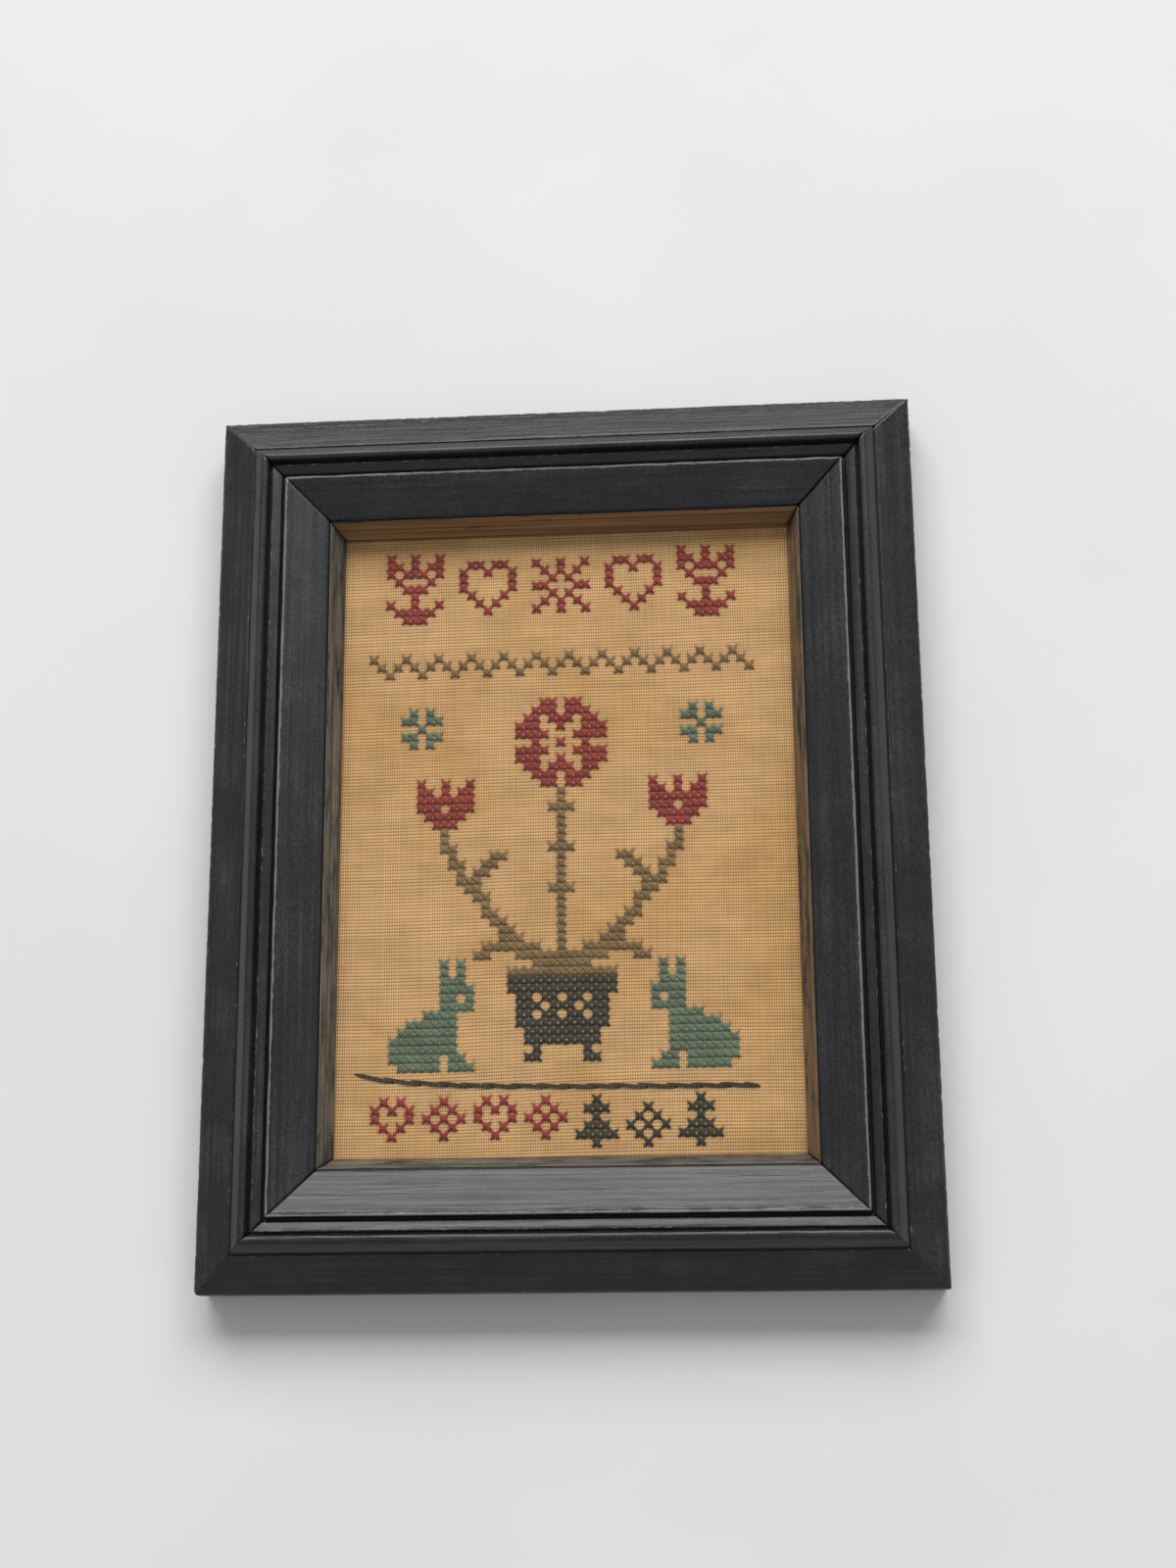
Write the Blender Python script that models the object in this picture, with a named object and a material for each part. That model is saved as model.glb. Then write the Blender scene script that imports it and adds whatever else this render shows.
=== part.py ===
"""Framed cross stitch sampler: four mitred moulding rails round a cloth stretched on a mounting board.

It lies on its back. +X is the picture's right, +Y the picture's top, and +Z comes out of its face.
The origin is on the resting plane, under the middle of the frame. All sizes are in metres.
"""

from collections import namedtuple
from math import hypot, pi, sqrt, tan

import bmesh
import bpy
from mathutils import Matrix, Vector

MM = 0.001

# Driving sizes
OUTER_WIDTH = 203.4 * MM
OUTER_HEIGHT = 254.0 * MM
RAIL_WIDTH = 36.5 * MM
REBATE_WIDTH = 5.0 * MM
REBATE_DEPTH = 7.8 * MM
PIECE_GAP = 0.3 * MM
REBATE_PLAY = 0.4 * MM
CLOTH_THICKNESS = 1.0 * MM
BOARD_THICKNESS = 3.0 * MM
FILLET_STEPS = 3

# The moulding's section: how far in from the outer edge, how high above the back, and how rounded each corner is.
Corner = namedtuple("Corner", "place inset height radius")
REBATE_INSET = RAIL_WIDTH - REBATE_WIDTH
SECTION = (
    Corner("back, outer", 0.0, 0.0, 0.0),
    Corner("outer edge", 0.0, 14.2 * MM, 1.5 * MM),
    Corner("top of the slope", 10.4 * MM, 19.0 * MM, 0.3 * MM),
    Corner("quirk", 10.8 * MM, 18.5 * MM, 0.15 * MM),
    Corner("foot of the ridge", 11.2 * MM, 19.9 * MM, 0.7 * MM),
    Corner("crown of the ridge", 14.0 * MM, 23.2 * MM, 1.6 * MM),
    Corner("inner shoulder", 15.6 * MM, 22.7 * MM, 0.6 * MM),
    Corner("foot of the step", 16.1 * MM, 19.6 * MM, 0.15 * MM),
    Corner("bead, outer", 16.6 * MM, 21.0 * MM, 0.35 * MM),
    Corner("bead, inner", 19.3 * MM, 19.9 * MM, 0.5 * MM),
    Corner("groove", 19.9 * MM, 18.6 * MM, 0.2 * MM),
    Corner("arris of the band", 20.6 * MM, 21.5 * MM, 0.4 * MM),
    Corner("foot of the band", 32.9 * MM, 16.8 * MM, 0.4 * MM),
    Corner("lip quirk", 33.1 * MM, 15.8 * MM, 0.1 * MM),
    Corner("lip arris", 33.6 * MM, 16.3 * MM, 0.2 * MM),
    Corner("lip hollow", 34.9 * MM, 12.2 * MM, 3.0 * MM),
    Corner("sight edge, front", RAIL_WIDTH, 9.2 * MM, 0.4 * MM),
    Corner("sight edge, back", RAIL_WIDTH, REBATE_DEPTH, 0.0),
    Corner("rebate corner", REBATE_INSET, REBATE_DEPTH, 0.0),
    Corner("back, inner", REBATE_INSET, 0.0, 0.0),
)


def clear_scene():
    """Removes whatever the scene holds, so that only the sampler is in it."""
    for thing in list(bpy.data.objects):
        bpy.data.objects.remove(thing, do_unlink=True)


def painted(name, colour, roughness, metallic=0.0):
    """A plain Principled material of one colour."""
    material = bpy.data.materials.new(name)
    material.use_nodes = True
    shader = material.node_tree.nodes["Principled BSDF"]
    shader.inputs["Base Color"].default_value = (*colour, 1.0)
    shader.inputs["Roughness"].default_value = roughness
    shader.inputs["Metallic"].default_value = metallic
    material.diffuse_color = (*colour, 1.0)
    return material


def rounded_corner(before, corner, after):
    """The points that replace one corner of the section: an arc that touches both of its sides."""
    tip = Vector((corner.inset, corner.height))
    if corner.radius == 0.0:
        return [tip]
    back = (Vector((before.inset, before.height)) - tip).normalized()
    on = (Vector((after.inset, after.height)) - tip).normalized()
    half_angle = back.angle(on) / 2
    reach = corner.radius / tan(half_angle)
    middle = tip + (back + on).normalized() * hypot(reach, corner.radius)
    spoke = tip + back * reach - middle
    bend = (pi - 2 * half_angle) * (1 if back.cross(on) < 0 else -1)
    turns = (Matrix.Rotation(bend * step / FILLET_STEPS, 2) for step in range(FILLET_STEPS + 1))
    return [middle + turn @ spoke for turn in turns]


def section_points():
    """The moulding's whole outline, run from its outer back corner over the face to its inner one."""
    points = []
    for index, corner in enumerate(SECTION):
        before = SECTION[index - 1]
        after = SECTION[(index + 1) % len(SECTION)]
        points += rounded_corner(before, corner, after)
    return points


def add_object(name, bm, material):
    """Makes one named object of a closed mesh, with its faces pointing out."""
    bmesh.ops.recalc_face_normals(bm, faces=bm.faces)
    mesh = bpy.data.meshes.new(name)
    bm.to_mesh(mesh)
    bm.free()
    mesh.materials.append(material)
    thing = bpy.data.objects.new(name, mesh)
    bpy.context.scene.collection.objects.link(thing)
    return thing


def build_rail(name, length, middle_to_edge, turns, material):
    """A length of the moulding with a 45 degree mitre at each end, turned to its side of the frame.

    It is laid out as the top rail, whose outer edge looks along +Y, and then turned by quarter turns.
    """
    mitre_setback = PIECE_GAP / 2 * sqrt(2)
    bm = bmesh.new()
    rings = []
    for side in (-1, 1):
        ring = []
        for point in section_points():
            along = side * (length / 2 - point.x - mitre_setback)
            ring.append(bm.verts.new((along, middle_to_edge - point.x, point.y)))
        rings.append(ring)
        bm.faces.new(ring)
    count = len(rings[0])
    for index in range(count):
        after = (index + 1) % count
        bm.faces.new((rings[0][index], rings[0][after], rings[1][after], rings[1][index]))
    rail = add_object(name, bm, material)
    rail.rotation_euler.z = turns * pi / 2
    return rail


def build_frame(material):
    """The four rails, each named for its side of the picture."""
    half_width, half_height = OUTER_WIDTH / 2, OUTER_HEIGHT / 2
    build_rail("rail_top", OUTER_WIDTH, half_height, 0, material)
    build_rail("rail_left", OUTER_HEIGHT, half_width, 1, material)
    build_rail("rail_bottom", OUTER_WIDTH, half_height, 2, material)
    build_rail("rail_right", OUTER_HEIGHT, half_width, 3, material)


def build_slab(name, top, thickness, material):
    """A flat rectangular piece that fills the rebate from side to side, less its play."""
    inset = REBATE_INSET + REBATE_PLAY
    size = Vector((OUTER_WIDTH - 2 * inset, OUTER_HEIGHT - 2 * inset, thickness))
    bm = bmesh.new()
    bmesh.ops.create_cube(bm, size=1.0)
    bmesh.ops.scale(bm, verts=bm.verts, vec=size)
    slab = add_object(name, bm, material)
    slab.location.z = top - thickness / 2
    return slab


def main():
    clear_scene()
    black_paint = painted("black_paint", (0.022, 0.024, 0.026), 0.42)
    tan_cloth = painted("tan_cloth", (0.56, 0.36, 0.16), 0.9)
    grey_card = painted("grey_card", (0.42, 0.38, 0.32), 0.85)
    build_frame(black_paint)
    cloth_top = REBATE_DEPTH - PIECE_GAP
    board_top = cloth_top - CLOTH_THICKNESS - PIECE_GAP
    build_slab("sampler_cloth", cloth_top, CLOTH_THICKNESS, tan_cloth)
    build_slab("mounting_board", board_top, BOARD_THICKNESS, grey_card)


main()
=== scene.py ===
"""The looks of a framed cross stitch sampler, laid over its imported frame.

The sampler lies on its back: +X to its right, +Y to its top and +Z out of its face, in metres.
"""

from collections import namedtuple
from math import cos, exp, hypot, pi, sin, tan
from random import Random

import bpy
import numpy as np
from mathutils import Matrix, Vector, noise


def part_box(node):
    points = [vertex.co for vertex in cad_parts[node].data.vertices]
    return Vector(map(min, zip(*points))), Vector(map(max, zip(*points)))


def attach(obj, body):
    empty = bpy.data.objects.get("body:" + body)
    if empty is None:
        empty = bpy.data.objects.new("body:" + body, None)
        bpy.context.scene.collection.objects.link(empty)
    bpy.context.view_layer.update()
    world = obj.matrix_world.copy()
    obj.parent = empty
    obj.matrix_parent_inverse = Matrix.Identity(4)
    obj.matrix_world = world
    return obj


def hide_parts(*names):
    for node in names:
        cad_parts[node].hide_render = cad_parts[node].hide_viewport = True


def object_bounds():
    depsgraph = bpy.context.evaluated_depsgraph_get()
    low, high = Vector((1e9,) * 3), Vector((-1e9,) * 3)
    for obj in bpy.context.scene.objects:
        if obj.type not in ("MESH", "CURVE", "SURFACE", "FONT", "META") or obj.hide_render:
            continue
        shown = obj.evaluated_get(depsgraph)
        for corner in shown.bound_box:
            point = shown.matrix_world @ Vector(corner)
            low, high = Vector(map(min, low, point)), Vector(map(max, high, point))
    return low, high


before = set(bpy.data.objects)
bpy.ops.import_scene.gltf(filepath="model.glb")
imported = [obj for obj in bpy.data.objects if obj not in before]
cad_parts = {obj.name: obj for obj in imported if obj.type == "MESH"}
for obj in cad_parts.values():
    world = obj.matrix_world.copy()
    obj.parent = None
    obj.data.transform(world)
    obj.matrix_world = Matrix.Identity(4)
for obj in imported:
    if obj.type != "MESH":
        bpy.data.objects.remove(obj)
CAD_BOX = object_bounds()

bl_info = {
    "name": "Framed Cross Stitch Sampler",
    "version": (1, 0, 0),
    "blender": (4, 5, 0),
    "location": "3D View > Sidebar > Sampler",
    "description": "Builds the rails, cloth, stitches, board and stage of a framed cross stitch sampler",
    "category": "Object",
}

MM = 0.001
HALF_WIDTH = CAD_BOX[1].x
HALF_HEIGHT = CAD_BOX[1].y
CLOTH_LOW, CLOTH_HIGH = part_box("sampler_cloth")
RAIL_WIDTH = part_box("rail_bottom")[1].y + HALF_HEIGHT
SIGHT_HALF_WIDTH = HALF_WIDTH - RAIL_WIDTH
SIGHT_HALF_HEIGHT = HALF_HEIGHT - RAIL_WIDTH


# ---------------------------------------------------------------------------------------------------------
# What a user may change


def length(name, description, default):
    """A length in metres, shown in the scene's units."""
    return bpy.props.FloatProperty(
        name=name, description=description, default=default, min=0.0, precision=5, unit="LENGTH"
    )


def colour(name, description, default):
    """A linear colour."""
    return bpy.props.FloatVectorProperty(
        name=name, description=description, default=default, size=3, min=0.0, max=1.0, subtype="COLOR"
    )


def share(name, description, default):
    """A share from none to all."""
    return bpy.props.FloatProperty(
        name=name, description=description, default=default, min=0.0, max=1.0, subtype="FACTOR"
    )


class FrameLooks(bpy.types.PropertyGroup):
    """The painted moulding."""

    paint: colour("Paint", "Black paint of the rails", (0.0135, 0.0145, 0.0155))
    # This colour is partly a rubbed, powdery bloom on the paint and partly painted sheen, greying the black.
    chalk: colour("Chalk", "Rubbed, chalky film over the paint", (0.065, 0.073, 0.077))
    worn_edge: colour("Worn edge", "What shows along rubbed arrises", (0.27, 0.245, 0.2))
    bare_wood: colour("Bare wood", "Wood where the lip's paint has gone", (0.33, 0.185, 0.07))
    raw_wood: colour("Raw wood", "Unpainted wood of the back and rebate", (0.42, 0.27, 0.14))
    roughness: share("Roughness", "Roughness of the satin paint", 0.29)
    across_step: length("Step across", "Mesh step across the moulding's face", 0.8 * MM)
    along_step: length("Step along", "Mesh step along a rail", 0.95 * MM)
    edge_wear: length("Edge wear", "How deep a rubbed arris is worn", 0.2 * MM)
    pit_depth: length("Pit depth", "Depth of the rough paint along the outer edge", 0.34 * MM)


class ClothLooks(bpy.types.PropertyGroup):
    """The plain-weave ground."""

    tan: colour("Cloth", "Tea-dyed thread", (0.73, 0.435, 0.185))
    stain: colour("Stain", "Stronger patches of the dye", (0.62, 0.34, 0.1))
    # The gap colour is painted shade: it darkens the openings between the threads and around the needle
    # holes.
    gap: colour("Gap", "What shows between the threads", (0.1, 0.045, 0.015))
    warp_pitch: length("Warp pitch", "Distance between upright threads", 0.68 * MM)
    weft_pitch: length("Weft pitch", "Distance between level threads", 0.93 * MM)
    relief: length("Relief", "Height of a thread's crown over the gaps beside it", 0.16 * MM)


class StitchLooks(bpy.types.PropertyGroup):
    """The cross stitches and the line of long stitches."""

    cell: length("Cross", "Width and height of one cross", 2.38 * MM)
    strand: length("Strand", "Width of one of the two strands", 0.56 * MM)
    loft: length("Loft", "Thickness of one strand", 0.42 * MM)
    red: colour("Red", "Brick red thread", (0.36, 0.045, 0.035))
    sage: colour("Sage", "Sage green thread", (0.13, 0.22, 0.15))
    olive: colour("Olive", "Olive brown thread", (0.27, 0.18, 0.075))
    dark: colour("Dark green", "Very dark green thread", (0.042, 0.048, 0.03))


class StageLooks(bpy.types.PropertyGroup):
    """The floor, the light and the camera."""

    floor: colour("Floor", "Pale floor", (0.83, 0.835, 0.83))
    room: share("Room light", "Strength of the even light from all round", 0.37)
    panel_power: bpy.props.FloatProperty(
        name="Panel power", description="Power of the light panel beyond the top edge", default=215.0,
        min=0.0, unit="POWER",
    )


# ---------------------------------------------------------------------------------------------------------
# Material recipes


class Recipe:
    """Adds nodes to one new material, so that a finish reads as a list of steps."""

    def __init__(self, name):
        self.material = bpy.data.materials.new(name)
        self.material.use_nodes = True
        self.tree = self.material.node_tree
        self.shader = self.tree.nodes["Principled BSDF"]

    def feed(self, socket, value):
        """Links a socket to another's output, or sets its own value."""
        if isinstance(value, bpy.types.NodeSocket):
            self.tree.links.new(value, socket)
        elif hasattr(value, "__len__") and len(value) == 3 and socket.type == "RGBA":
            socket.default_value = (*value, 1.0)
        else:
            socket.default_value = value

    def node(self, kind, **inputs):
        """A new node, with its inputs fed by name."""
        made = self.tree.nodes.new(kind)
        for name, value in inputs.items():
            self.feed(made.inputs[name], value)
        return made

    def math(self, operation, first, second=0.0, third=0.0):
        """The result of one sum."""
        made = self.node("ShaderNodeMath")
        made.operation = operation
        for socket, value in zip(made.inputs, (first, second, third)):
            self.feed(socket, value)
        return made.outputs[0]

    def total(self, *values):
        """All the values added."""
        result = values[0]
        for value in values[1:]:
            result = self.math("ADD", result, value)
        return result

    def product(self, *values):
        """All the values multiplied."""
        result = values[0]
        for value in values[1:]:
            result = self.math("MULTIPLY", result, value)
        return result

    def blend(self, amount, first, second):
        """The first colour, turned to the second by the amount."""
        made = self.node("ShaderNodeMix")
        made.data_type = "RGBA"
        self.feed(made.inputs["Factor"], amount)
        self.feed(made.inputs[6], first)
        self.feed(made.inputs[7], second)
        return made.outputs[2]

    def tinted(self, colour_in, factor):
        """A colour made lighter or darker by a factor."""
        made = self.node("ShaderNodeVectorMath")
        made.operation = "SCALE"
        self.feed(made.inputs[0], colour_in)
        self.feed(made.inputs["Scale"], factor)
        return made.outputs[0]

    def fade(self, value, low, high, start=0.0, end=1.0):
        """A soft step: start below low, end above high."""
        made = self.node("ShaderNodeMapRange", **{"From Min": low, "From Max": high})
        made.interpolation_type = "SMOOTHSTEP"
        self.feed(made.inputs["Value"], value)
        self.feed(made.inputs["To Min"], start)
        self.feed(made.inputs["To Max"], end)
        return made.outputs[0]

    def noise(self, where, scale, detail=2.0, roughness=0.5, distortion=0.0):
        """Soft noise from none to all."""
        made = self.node(
            "ShaderNodeTexNoise", Vector=where, Scale=scale, Detail=detail,
            Roughness=roughness, Distortion=distortion,
        )
        return made.outputs[0]

    def attribute(self, name, output="Fac"):
        """What the mesh stores under a name."""
        made = self.node("ShaderNodeAttribute")
        made.attribute_name = name
        return made.outputs[output]

    def stretched(self, where, scales):
        """Coordinates scaled by three factors."""
        made = self.node("ShaderNodeVectorMath")
        made.operation = "MULTIPLY"
        self.feed(made.inputs[0], where)
        self.feed(made.inputs[1], scales)
        return made.outputs[0]

    def parts(self, where):
        """The x, y and z of a place."""
        return self.node("ShaderNodeSeparateXYZ", Vector=where).outputs

    def bump(self, height, depth, normal=None):
        """A normal from a height, with depth in metres."""
        made = self.node("ShaderNodeBump", Height=height, Distance=depth)
        if normal is not None:
            self.feed(made.inputs["Normal"], normal)
        return made.outputs[0]

    def finish(self, colour_in, roughness, normal=None, **constants):
        """Feeds the shader. Constants are set on its own sockets."""
        self.feed(self.shader.inputs["Base Color"], colour_in)
        self.feed(self.shader.inputs["Roughness"], roughness)
        if normal is not None:
            self.feed(self.shader.inputs["Normal"], normal)
        for name, value in constants.items():
            self.shader.inputs[name.replace("_", " ")].default_value = value
        return self.material


# ---------------------------------------------------------------------------------------------------------
# Mesh helpers


def new_piece(name, points, faces, material, smooth=True):
    """One mesh object from lists of points and faces."""
    mesh = bpy.data.meshes.new(name)
    mesh.from_pydata([tuple(point) for point in points], [], [tuple(face) for face in faces])
    mesh.materials.append(material)
    if smooth:
        mesh.shade_smooth()
    mesh.update()
    piece = bpy.data.objects.new(name, mesh)
    bpy.context.scene.collection.objects.link(piece)
    return piece


def set_attribute(piece, name, values, kind="FLOAT"):
    """Stores one value, or one vector, at each point."""
    made = piece.data.attributes.new(name, kind, "POINT")
    made.data.foreach_set("vector" if kind == "FLOAT_VECTOR" else "value", np.ravel(values))


def set_map(piece, name, places):
    """A UV map from one place for each point."""
    layer = piece.data.uv_layers.new(name=name)
    corners = np.empty(len(piece.data.loops), dtype=np.int32)
    piece.data.loops.foreach_get("vertex_index", corners)
    layer.data.foreach_set("uv", np.ravel(np.asarray(places)[corners]))


def fall_off(distance, reach):
    """1 at no distance, and a bell curve down to nothing past the reach."""
    return exp(-((distance / reach) ** 2))


def soft_step(value, low, high):
    """0 below low, 1 above high, and smooth between."""
    t = min(1.0, max(0.0, (value - low) / (high - low)))
    return t * t * (3 - 2 * t)


# ---------------------------------------------------------------------------------------------------------
# The moulding

# The section's corners: inset from the outer edge and height over the back in millimetres, how rounded, how
# much paint is rubbed off there, and how much painted shade darkens it.
Corner = namedtuple("Corner", "place inset height radius worn grimy")
SECTION = (
    Corner("back, outer", 0.0, 0.0, 0.0, 0.2, 0.0),
    Corner("outer edge", 0.0, 14.2, 1.5, 0.25, 0.0),
    Corner("top of the slope", 10.4, 19.0, 0.35, 0.45, 0.0),
    Corner("quirk", 10.8, 18.5, 0.15, 0.0, 0.8),
    Corner("foot of the ridge", 11.2, 19.9, 0.7, 0.25, 0.0),
    Corner("crown of the ridge", 14.0, 23.2, 1.6, 0.1, 0.0),
    Corner("inner shoulder", 15.6, 22.7, 0.6, 0.35, 0.0),
    Corner("foot of the step", 16.1, 19.6, 0.15, 0.0, 1.0),
    Corner("bead, outer", 16.6, 21.0, 0.35, 0.5, 0.0),
    Corner("bead, inner", 19.3, 19.9, 0.5, 0.25, 0.0),
    Corner("groove", 19.9, 18.6, 0.2, 0.0, 1.0),
    Corner("arris of the band", 20.6, 21.5, 0.35, 1.0, 0.0),
    Corner("foot of the band", 32.9, 16.8, 0.35, 0.3, 0.0),
    Corner("lip quirk", 33.1, 15.8, 0.1, 0.0, 1.0),
    Corner("lip arris", 33.6, 16.3, 0.2, 1.0, 0.0),
    Corner("lip hollow", 34.9, 12.2, 3.0, 0.2, 0.0),
    Corner("sight edge, front", 36.5, 9.2, 0.4, 0.4, 0.0),
    Corner("sight edge, back", 36.5, 7.8, 0.0, 0.0, 0.0),
    Corner("rebate corner", 31.5, 7.8, 0.0, 0.0, 0.0),
    Corner("back, inner", 31.5, 0.0, 0.0, 0.0, 0.0),
)
HIDDEN_FROM = "sight edge, back"
HIDDEN_STEP = 4.0 * MM
FILLET_STEPS = 3
WEAR_REACH = 0.45 * MM
PITTED_WIDTH = 3.4 * MM
LIP_INSET = 33.3 * MM
SOFTENED = (0.0, 0.12, 0.35, 0.8, 1.5)  # millimetres from a mitre, where its edge is eased
MITRE_EASE = 0.16 * MM
MITRE_EASE_REACH = 0.25 * MM
TIGHTEST_MITRE = 0.02 * MM
MITRE_OPENS = (3 * MM, 8 * MM)
WAVES_SCALE, WAVES_DEPTH = 28, 0.05 * MM
LONG_RUB, SHORT_RUB = (160, 60), (620, 200)
PITS_SCALE, FINE_PITS_SCALE = 720, 1500
PITTED_ABOVE = 11 * MM
RAIL_SPACING = 0.37

# Each rail: its quarter turns from the top one, its own number for the noise, how its lip has worn, how much
# powdery bloom and painted sheen lies on its paint, and how strong its grain is.
Rail = namedtuple("Rail", "name turns number lip_bare lip_grey chalky grain")
RAILS = (
    Rail("rail_top", 0, 1, 0.9, 0.15, 0.35, 1.0),
    Rail("rail_left", 1, 2, 0.3, 0.75, 0.55, 0.4),
    Rail("rail_bottom", 2, 3, 0.25, 0.6, 0.45, 1.0),
    Rail("rail_right", 3, 4, 0.6, 0.5, 0.4, 0.3),
)

# Each mitre, by its side across and up: how far it stands open, and how round its outer corner is.
Mitre = namedtuple("Mitre", "across up open_by rounding")
MITRES = (
    Mitre(-1, 1, 0.02 * MM, 0.9 * MM),
    Mitre(1, 1, 0.17 * MM, 0.7 * MM),
    Mitre(1, -1, 0.03 * MM, 1.0 * MM),
    Mitre(-1, -1, 0.07 * MM, 2.2 * MM),
)

SectionPoint = namedtuple("SectionPoint", "inset height round worn grimy hidden")


def corner_arc(before, corner, after):
    """The points that replace one corner, as an arc that touches both of its sides."""
    tip = Vector((corner.inset, corner.height)) * MM
    if corner.radius == 0.0:
        return [tip]
    back = (Vector((before.inset, before.height)) * MM - tip).normalized()
    on = (Vector((after.inset, after.height)) * MM - tip).normalized()
    half_angle = back.angle(on) / 2
    radius = corner.radius * MM
    reach = radius / tan(half_angle)
    middle = tip + (back + on).normalized() * hypot(reach, radius)
    spoke = tip + back * reach - middle
    bend = (pi - 2 * half_angle) * (1 if back.cross(on) < 0 else -1)
    turns = (Matrix.Rotation(bend * step / FILLET_STEPS, 2) for step in range(FILLET_STEPS + 1))
    return [middle + turn @ spoke for turn in turns]


def section_points(step):
    """The moulding's outline as SectionPoints, with its flats cut into steps."""
    arcs = []
    for index, corner in enumerate(SECTION):
        arcs.append(corner_arc(SECTION[index - 1], corner, SECTION[(index + 1) % len(SECTION)]))
    points, distance, hidden = [], 0.0, False
    for index, (corner, arc) in enumerate(zip(SECTION, arcs)):
        hidden = hidden or corner.place == HIDDEN_FROM
        after = SECTION[(index + 1) % len(SECTION)]
        target = arcs[(index + 1) % len(arcs)][0]
        for place, following in zip(arc, arc[1:] + [target]):
            points.append(SectionPoint(place.x, place.y, distance, corner.worn, corner.grimy, hidden))
            if following is target:
                span = (target - place).length
                count = max(1, round(span / (HIDDEN_STEP if hidden or index == 0 else step)))
                for part in range(1, count):
                    here = place.lerp(target, part / count)
                    near = fall_off(span * part / count, WEAR_REACH)
                    far = fall_off(span * (1 - part / count), WEAR_REACH)
                    worn = corner.worn * near + after.worn * far
                    grimy = corner.grimy * near + after.grimy * far
                    points.append(
                        SectionPoint(here.x, here.y, distance + span * part / count, worn, grimy, hidden)
                    )
            distance += (following - place).length
    return points


def stations(length, step):
    """Places along a rail from -1 to 1, closer together beside the mitres."""
    half = length / 2
    eased = [1 - near * MM / half for near in SOFTENED]
    count = int(2 * half * eased[-1] / step)
    inner = np.linspace(-eased[-1], eased[-1], count)
    return [-t for t in eased[:-1]] + list(inner) + eased[-2::-1]


def gap_at(mitre, inset):
    """Half the width of a mitre's gap, which the paint bridges at the outer edge."""
    return TIGHTEST_MITRE + mitre.open_by * soft_step(inset, *MITRE_OPENS)


def mitre_at(turns, end):
    """The mitre at one end of a rail that has been turned from the top side."""
    corner = Matrix.Rotation(turns * pi / 2, 2) @ Vector((end, 1))
    across, up = round(corner.x), round(corner.y)
    return next(mitre for mitre in MITRES if (mitre.across, mitre.up) == (across, up))


def worn_surface(rail, along, point, looks):
    """How far one point of a rail is sunk below the clean moulding, by wear, pits and slow waves."""
    place = Vector((along, point.round, rail.number * RAIL_SPACING))
    slow = noise.noise(place * WAVES_SCALE) * WAVES_DEPTH
    long_place = Vector((place.x * LONG_RUB[0], place.y * LONG_RUB[1], place.z))
    short_place = Vector((place.x * SHORT_RUB[0], place.y * SHORT_RUB[1], place.z + 5))
    rub = max(0.0, noise.noise(long_place) + 0.35)
    rub += 0.6 * max(0.0, noise.noise(short_place))
    pits = 0.0
    if point.inset < PITTED_WIDTH and point.height > PITTED_ABOVE:
        edge = 1 - soft_step(point.inset, 0.6 * PITTED_WIDTH, PITTED_WIDTH)
        rough = noise.noise(place * PITS_SCALE) + 0.4 * noise.noise(place * FINE_PITS_SCALE)
        pits = edge * looks.pit_depth * max(0.0, rough)
    return slow + WAVES_DEPTH + point.worn * rub * looks.edge_wear + pits


def round_corner(x, y):
    """Pulls a point in to the rounded outer corner that it is near."""
    mitre = next(m for m in MITRES if m.across == (1 if x > 0 else -1) and m.up == (1 if y > 0 else -1))
    over_x = abs(x) - (HALF_WIDTH - mitre.rounding)
    over_y = abs(y) - (HALF_HEIGHT - mitre.rounding)
    if min(over_x, over_y) <= 0 or hypot(over_x, over_y) <= mitre.rounding:
        return x, y
    pull = mitre.rounding / hypot(over_x, over_y)
    return (
        mitre.across * (HALF_WIDTH - mitre.rounding + over_x * pull),
        mitre.up * (HALF_HEIGHT - mitre.rounding + over_y * pull),
    )


def outward_normals(points):
    """A unit normal in the section's plane for each of its points."""
    normals = []
    for index, point in enumerate(points):
        before, after = points[index - 1], points[(index + 1) % len(points)]
        run = Vector((after.inset - before.inset, after.height - before.height))
        normals.append(Vector((-run.y, run.x)).normalized())
    return normals


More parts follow.
